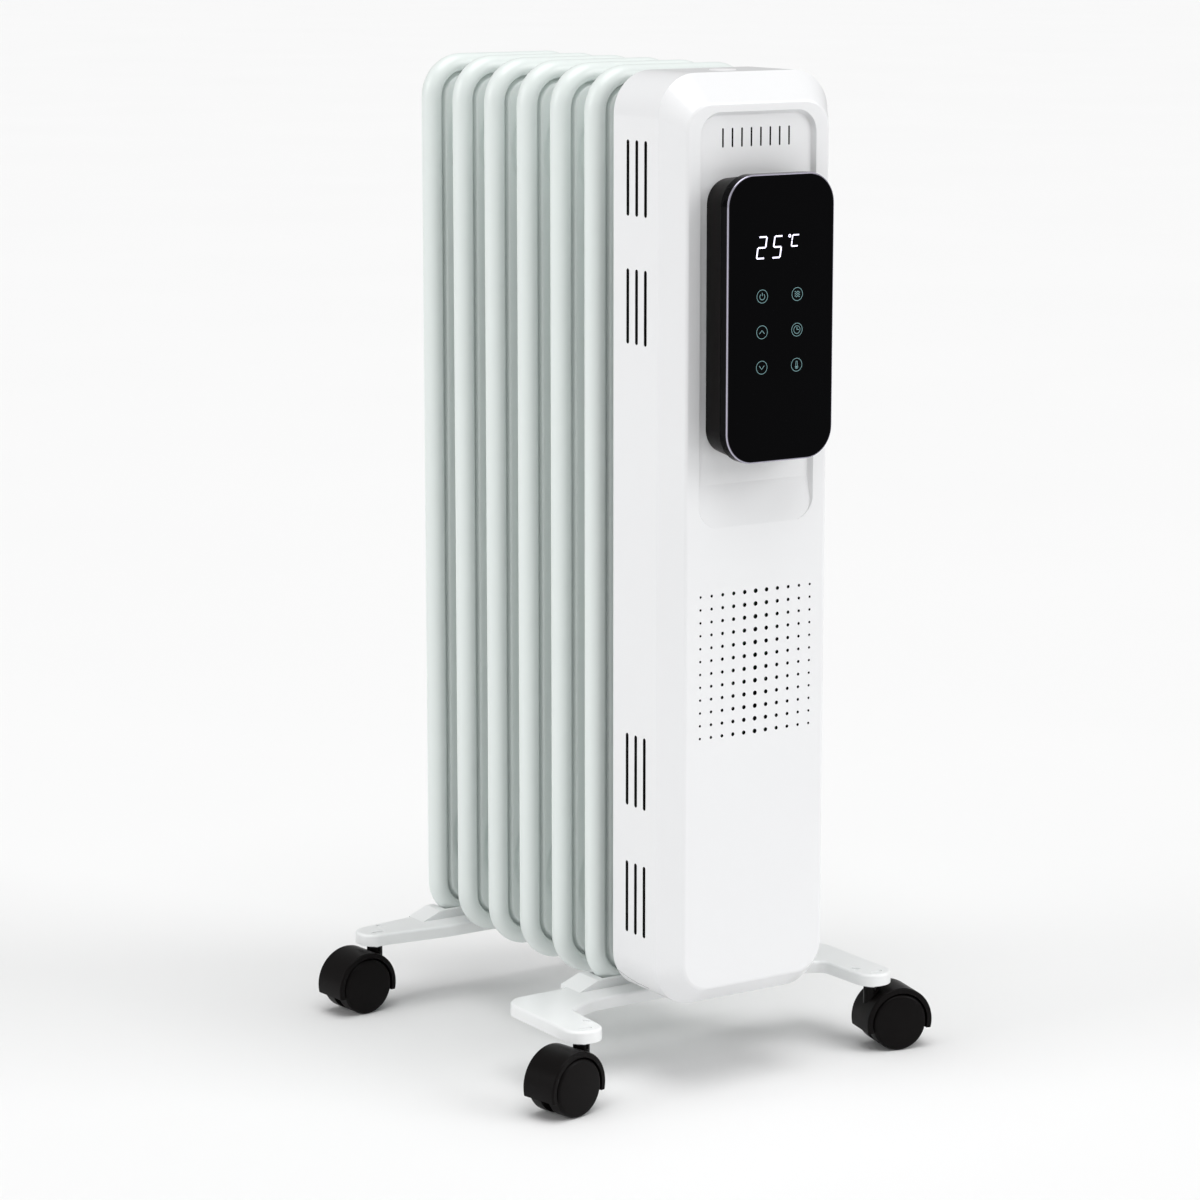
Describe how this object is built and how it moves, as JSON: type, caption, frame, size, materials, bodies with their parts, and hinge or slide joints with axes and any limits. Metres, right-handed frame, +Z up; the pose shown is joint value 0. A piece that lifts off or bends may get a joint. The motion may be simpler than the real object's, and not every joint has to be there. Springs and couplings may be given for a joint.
{
  "type": "oil filled radiator heater",
  "caption": "Upright oil filled radiator with rolled-edge steel fins, a white front housing, a raised black touch panel, pressed feet and twin-wheel casters.",
  "frame": {"origin": "floor under the middle of the heater, at the centre of its footprint box", "axes": "+Z up; -Y is the front with the control panel; +X to the right seen from the front; the heater is symmetric about X = 0 apart from small inner parts"},
  "size_m": [0.3006, 0.3204, 0.63],
  "materials": {
    "fin_paint": "gloss",
    "foot_white": "satin",
    "housing_white": "gloss",
    "button_white": "satin",
    "black_glass": "gloss",
    "panel_black": "satin",
    "caster_black": "satin",
    "plated_steel": "bright",
    "raw_steel": "satin",
    "brass": "satin",
    "circuit_board": "satin",
    "black_rubber": "matte",
    "light_plastic": "satin",
    "dark_plastic": "satin"
  },
  "bodies": {
    "radiator": {"board_standoffs": "plated_steel", "button_spring": "plated_steel", "button_switch": "light_plastic", "cable_gland": "black_rubber", "capacitors": "dark_plastic", "caster_stems": "plated_steel", "display_module": "light_plastic", "element_flange": "raw_steel", "element_leads": "light_plastic", "element_terminals": "brass", "fin_1": "fin_paint", "fin_2": "fin_paint", "fin_3": "fin_paint", "fin_4": "fin_paint", "fin_5": "fin_paint", "fin_6": "fin_paint", "fin_7": "fin_paint", "flange_gasket": "black_rubber", "foot_u_bolts": "plated_steel", "foot_wing_nuts": "plated_steel", "front_foot": "foot_white", "heating_elements": "raw_steel", "housing_bottom": "housing_white", "housing_cover": "housing_white", "housing_screws": "plated_steel", "mounting_plate": "raw_steel", "oil_filler_plug": "raw_steel", "panel_glass": "black_glass", "panel_screws": "plated_steel", "panel_tray": "panel_black", "power_board": "circuit_board", "rear_foot": "foot_white", "relays": "dark_plastic", "temperature_sensor": "dark_plastic", "terminal_block": "light_plastic", "thermal_cutout": "plated_steel", "tip_over_switch": "dark_plastic", "touch_board": "circuit_board", "touch_springs": "plated_steel", "transformer": "dark_plastic"},
    "power_button_body": {"power_button": "button_white"},
    "caster_front_left": {"caster_hood_front_left": "caster_black", "caster_axle_front_left": "plated_steel"},
    "wheel_a_front_left": {"caster_wheel_a_front_left": "caster_black"},
    "wheel_b_front_left": {"caster_wheel_b_front_left": "caster_black"},
    "caster_front_right": {"caster_hood_front_right": "caster_black", "caster_axle_front_right": "plated_steel"},
    "wheel_a_front_right": {"caster_wheel_a_front_right": "caster_black"},
    "wheel_b_front_right": {"caster_wheel_b_front_right": "caster_black"},
    "caster_rear_left": {"caster_hood_rear_left": "caster_black", "caster_axle_rear_left": "plated_steel"},
    "wheel_a_rear_left": {"caster_wheel_a_rear_left": "caster_black"},
    "wheel_b_rear_left": {"caster_wheel_b_rear_left": "caster_black"},
    "caster_rear_right": {"caster_hood_rear_right": "caster_black", "caster_axle_rear_right": "plated_steel"},
    "wheel_a_rear_right": {"caster_wheel_a_rear_right": "caster_black"},
    "wheel_b_rear_right": {"caster_wheel_b_rear_right": "caster_black"}
  },
  "joints": [
    {"name": "power_button_press", "type": "slide", "parent": "radiator", "child": "power_button_body", "axis": [0, 0, 1], "range_m": [-0.002, 0], "stiffness_N_per_m": 400, "springref_m": 0.0015, "deforming": ["button_spring"]},
    {"name": "caster_swivel_front_left", "type": "hinge", "parent": "radiator", "child": "caster_front_left", "pos_m": [-0.1112, -0.1128, 0.038], "axis": [0, 0, 1], "continuous": true},
    {"name": "wheel_spin_a_front_left", "type": "hinge", "parent": "caster_front_left", "child": "wheel_a_front_left", "pos_m": [-0.12548, -0.11584, 0.0185], "axis": [0.2079, -0.9781, 0], "continuous": true},
    {"name": "wheel_spin_b_front_left", "type": "hinge", "parent": "caster_front_left", "child": "wheel_b_front_left", "pos_m": [-0.12548, -0.11584, 0.0185], "axis": [0.2079, -0.9781, 0], "continuous": true},
    {"name": "caster_swivel_front_right", "type": "hinge", "parent": "radiator", "child": "caster_front_right", "pos_m": [0.1112, -0.1128, 0.038], "axis": [0, 0, 1], "continuous": true},
    {"name": "wheel_spin_a_front_right", "type": "hinge", "parent": "caster_front_right", "child": "wheel_a_front_right", "pos_m": [0.12548, -0.11584, 0.0185], "axis": [0.2079, 0.9781, 0], "continuous": true},
    {"name": "wheel_spin_b_front_right", "type": "hinge", "parent": "caster_front_right", "child": "wheel_b_front_right", "pos_m": [0.12548, -0.11584, 0.0185], "axis": [0.2079, 0.9781, 0], "continuous": true},
    {"name": "caster_swivel_rear_left", "type": "hinge", "parent": "radiator", "child": "caster_rear_left", "pos_m": [-0.1112, 0.1421, 0.038], "axis": [0, 0, 1], "continuous": true},
    {"name": "wheel_spin_a_rear_left", "type": "hinge", "parent": "caster_rear_left", "child": "wheel_a_rear_left", "pos_m": [-0.12572, 0.14057, 0.0185], "axis": [0.1045, -0.9945, 0], "continuous": true},
    {"name": "wheel_spin_b_rear_left", "type": "hinge", "parent": "caster_rear_left", "child": "wheel_b_rear_left", "pos_m": [-0.12572, 0.14057, 0.0185], "axis": [0.1045, -0.9945, 0], "continuous": true},
    {"name": "caster_swivel_rear_right", "type": "hinge", "parent": "radiator", "child": "caster_rear_right", "pos_m": [0.1112, 0.1421, 0.038], "axis": [0, 0, 1], "continuous": true},
    {"name": "wheel_spin_a_rear_right", "type": "hinge", "parent": "caster_rear_right", "child": "wheel_a_rear_right", "pos_m": [0.12572, 0.14057, 0.0185], "axis": [0.1045, 0.9945, 0], "continuous": true},
    {"name": "wheel_spin_b_rear_right", "type": "hinge", "parent": "caster_rear_right", "child": "wheel_b_rear_right", "pos_m": [0.12572, 0.14057, 0.0185], "axis": [0.1045, 0.9945, 0], "continuous": true}
  ]
}
